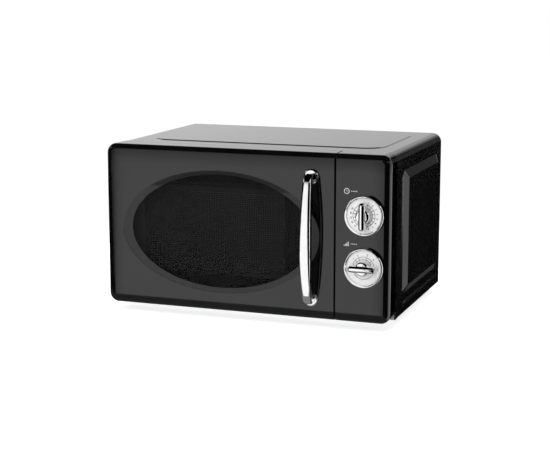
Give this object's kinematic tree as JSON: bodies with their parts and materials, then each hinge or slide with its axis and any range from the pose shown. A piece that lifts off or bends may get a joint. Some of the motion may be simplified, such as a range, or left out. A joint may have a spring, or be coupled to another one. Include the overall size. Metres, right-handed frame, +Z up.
{
  "type": "microwave oven",
  "caption": "Black retro countertop microwave oven with a side-hinged door, oval window, arched bar handle, timer and power dials and a glass turntable.",
  "frame": {"origin": "on the floor under the middle of the oven's box, handle included", "axes": "+X to the right of someone facing the door, +Y to the rear, +Z up"},
  "size_m": [0.448, 0.342, 0.256],
  "materials": {
    "front_gloss": "black moulded plastic with a soft gloss",
    "case_paint": "black powder coat with a soft gloss",
    "chrome": "polished chrome plating",
    "dial_face": "silver-white printed face",
    "dark_glass": "dark tinted pane",
    "clear_glass": "clear glass",
    "screen_black": "black perforated sheet",
    "oven_enamel": "pale grey baked enamel",
    "zinc_steel": "bare zinc-coated sheet",
    "black_plastic": "black plastic",
    "white_plastic": "off-white plastic",
    "red_plastic": "red plastic",
    "copper": "varnished copper winding",
    "aluminium": "bare aluminium",
    "mica": "pressed mica sheet",
    "lamp_glass": "warm lamp glass",
    "board": "green lacquered board",
    "foot_rubber": "black rubber"
  },
  "bodies": {
    "cabinet": {"base_plate": "zinc_steel", "capacitor": "aluminium", "capacitor_strap": "zinc_steel", "cavity_floor": "oven_enamel", "cavity_rear": "oven_enamel", "cavity_wrap": "oven_enamel", "control_panel": "front_gloss", "cord_inlet": "black_plastic", "cover_screws": "zinc_steel", "dial_bezels": "chrome", "door_hinges": "zinc_steel", "fan_motor": "zinc_steel", "fan_shroud": "white_plastic", "feet": "foot_rubber", "filter_board": "board", "front_plate": "oven_enamel", "hv_diode": "black_plastic", "interlock_switches": "black_plastic", "latch_body": "white_plastic", "magnetron_anode": "aluminium", "magnetron_filter_box": "zinc_steel", "magnetron_yoke": "zinc_steel", "outer_cover": "case_paint", "oven_lamp": "lamp_glass", "power_dial": "dial_face", "power_selector": "white_plastic", "rear_panel": "zinc_steel", "thermal_cutouts": "zinc_steel", "timer_dial": "dial_face", "timer_unit": "white_plastic", "transformer_coils": "copper", "transformer_core": "zinc_steel", "turntable_motor": "zinc_steel", "waveguide": "zinc_steel", "waveguide_cover": "mica"},
    "door": {"door_frame": "front_gloss", "door_window": "dark_glass", "door_panel": "oven_enamel", "door_screen": "screen_black", "choke_cover": "black_plastic", "inner_window": "clear_glass", "handle_bar": "chrome", "handle_rosettes": "chrome", "handle_screws": "zinc_steel", "latch_spring": "zinc_steel"},
    "latch_hook": {"latch_hook": "white_plastic"},
    "timer_knob": {"timer_knob": "chrome", "timer_shaft": "zinc_steel"},
    "power_knob": {"power_knob": "chrome", "power_shaft": "zinc_steel"},
    "turntable": {"glass_tray": "clear_glass", "drive_coupler": "white_plastic"},
    "roller_ring": {"roller_ring": "white_plastic"},
    "roller_1": {"roller_1": "white_plastic"},
    "roller_2": {"roller_2": "white_plastic"},
    "roller_3": {"roller_3": "white_plastic"},
    "fan_rotor": {"fan_rotor": "white_plastic"},
    "upper_plunger": {"upper_plunger": "red_plastic"},
    "lower_plungers": {"lower_plungers": "red_plastic"}
  },
  "joints": [
    {"name": "door_swing", "type": "hinge", "parent": "cabinet", "child": "door", "pos_m": [-0.213, -0.111, 0.135], "axis": [0, 0, -1], "range_deg": [0, 100]},
    {"name": "hook_lift", "type": "slide", "parent": "door", "child": "latch_hook", "axis": [0, 0, 1], "range_m": [0, 0.005], "stiffness_N_per_m": 400, "springref_m": -0.004, "deforming": ["latch_spring"]},
    {"name": "timer_turn", "type": "hinge", "parent": "cabinet", "child": "timer_knob", "pos_m": [0.1831, -0.138, 0.1706], "axis": [0, 1, 0], "range_deg": [0, 300]},
    {"name": "power_turn", "type": "hinge", "parent": "cabinet", "child": "power_knob", "pos_m": [0.1831, -0.138, 0.0957], "axis": [0, 1, 0], "range_deg": [-140, 0]},
    {"name": "turntable_spin", "type": "hinge", "parent": "cabinet", "child": "turntable", "pos_m": [-0.046, 0.0293, 0.0516], "axis": [0, 0, 1], "continuous": true},
    {"name": "ring_roll", "type": "hinge", "parent": "cabinet", "child": "roller_ring", "pos_m": [-0.046, 0.0293, 0.0428], "axis": [0, 0, 1], "continuous": true},
    {"name": "roller_1_spin", "type": "hinge", "parent": "roller_ring", "child": "roller_1", "pos_m": [0.0433, 0.0293, 0.0428], "axis": [1, 0, 0], "continuous": true},
    {"name": "roller_2_spin", "type": "hinge", "parent": "roller_ring", "child": "roller_2", "pos_m": [-0.09065, 0.10664, 0.0428], "axis": [-0.5, 0.866, 0], "continuous": true},
    {"name": "roller_3_spin", "type": "hinge", "parent": "roller_ring", "child": "roller_3", "pos_m": [-0.09065, -0.04804, 0.0428], "axis": [-0.5, -0.866, 0], "continuous": true},
    {"name": "fan_spin", "type": "hinge", "parent": "cabinet", "child": "fan_rotor", "pos_m": [0.1616, 0.1612, 0.192], "axis": [0, 1, 0], "continuous": true},
    {"name": "upper_press", "type": "slide", "parent": "cabinet", "child": "upper_plunger", "axis": [0, -1, 0], "range_m": [0, 0.0015]},
    {"name": "lower_press", "type": "slide", "parent": "cabinet", "child": "lower_plungers", "axis": [0, -1, 0], "range_m": [0, 0.0015]}
  ],
  "couplings": [
    {"joint": "ring_roll", "follows": "turntable_spin", "ratio": 0.5},
    {"joint": "roller_1_spin", "follows": "turntable_spin", "ratio": -5.4294},
    {"joint": "roller_2_spin", "follows": "turntable_spin", "ratio": -5.4294},
    {"joint": "roller_3_spin", "follows": "turntable_spin", "ratio": -5.4294},
    {"joint": "upper_press", "follows": "door_swing", "m_per_rad": 0.00085935},
    {"joint": "lower_press", "follows": "door_swing", "m_per_rad": 0.00085935}
  ]
}
